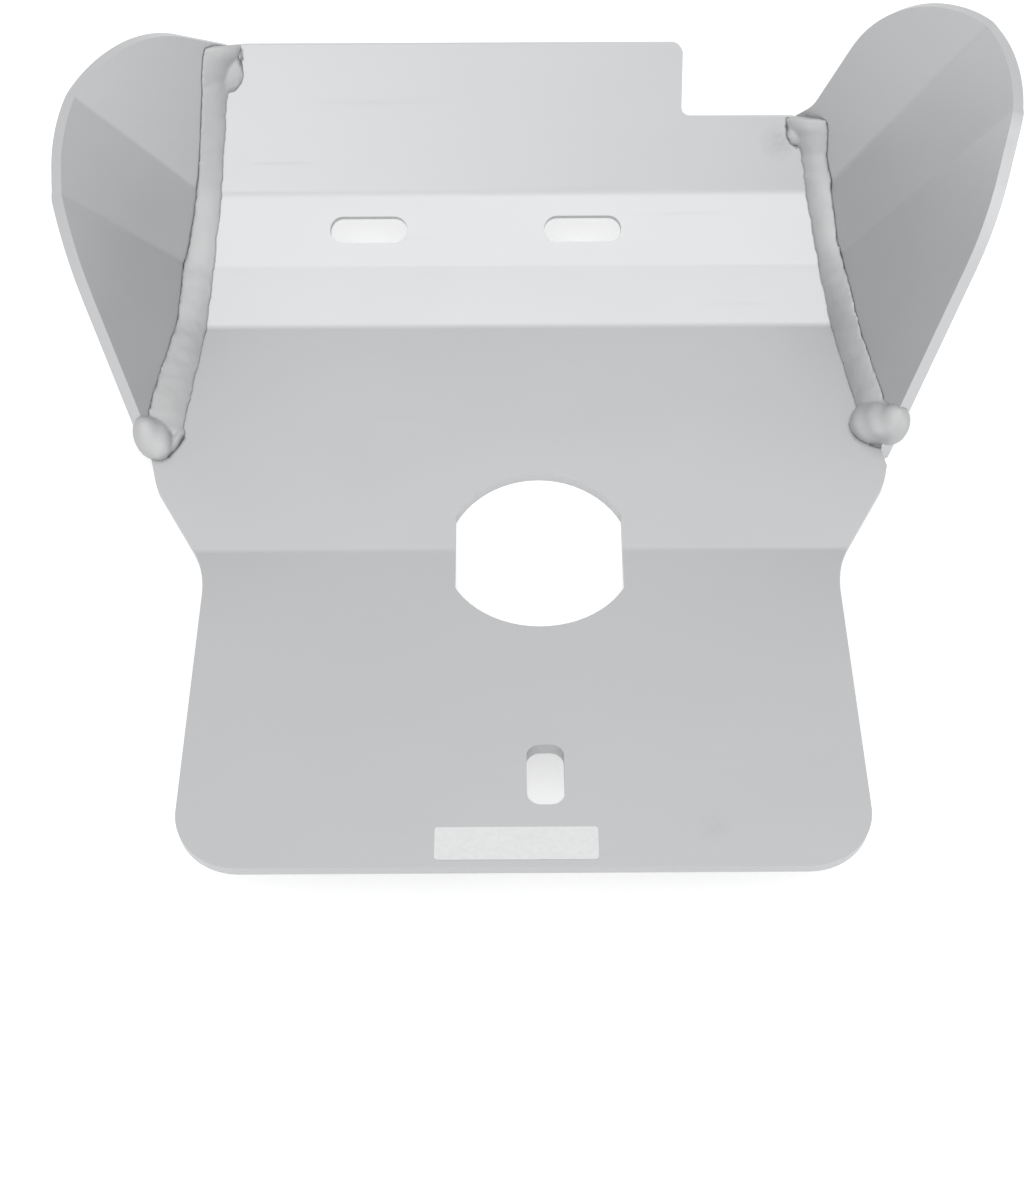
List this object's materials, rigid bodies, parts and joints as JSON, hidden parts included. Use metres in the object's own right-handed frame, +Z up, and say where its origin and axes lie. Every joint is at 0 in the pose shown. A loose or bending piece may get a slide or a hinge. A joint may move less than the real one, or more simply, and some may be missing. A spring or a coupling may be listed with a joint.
{
  "type": "motorcycle skid plate",
  "caption": "Folded aluminium skid plate with two welded ear-shaped side wings, an oil drain opening and slots for its clamps.",
  "frame": {"origin": "middle of the middle panel's underside, which the plate stands on", "axes": "+X to the right wing, +Y to the steep front flange, +Z up from the middle panel"},
  "size_m": [0.3125, 0.29, 0.1026],
  "materials": {
    "sheet": "mill finish, satin",
    "weld": "cast weld bead, brushed over",
    "label": "matt white film"
  },
  "bodies": {
    "root": {"base_plate": "sheet", "left_wing": "sheet", "right_wing": "sheet", "left_weld": "weld", "right_weld": "weld", "left_rear_wrap": "weld", "right_rear_wrap": "weld", "label": "label"}
  },
  "joints": []
}
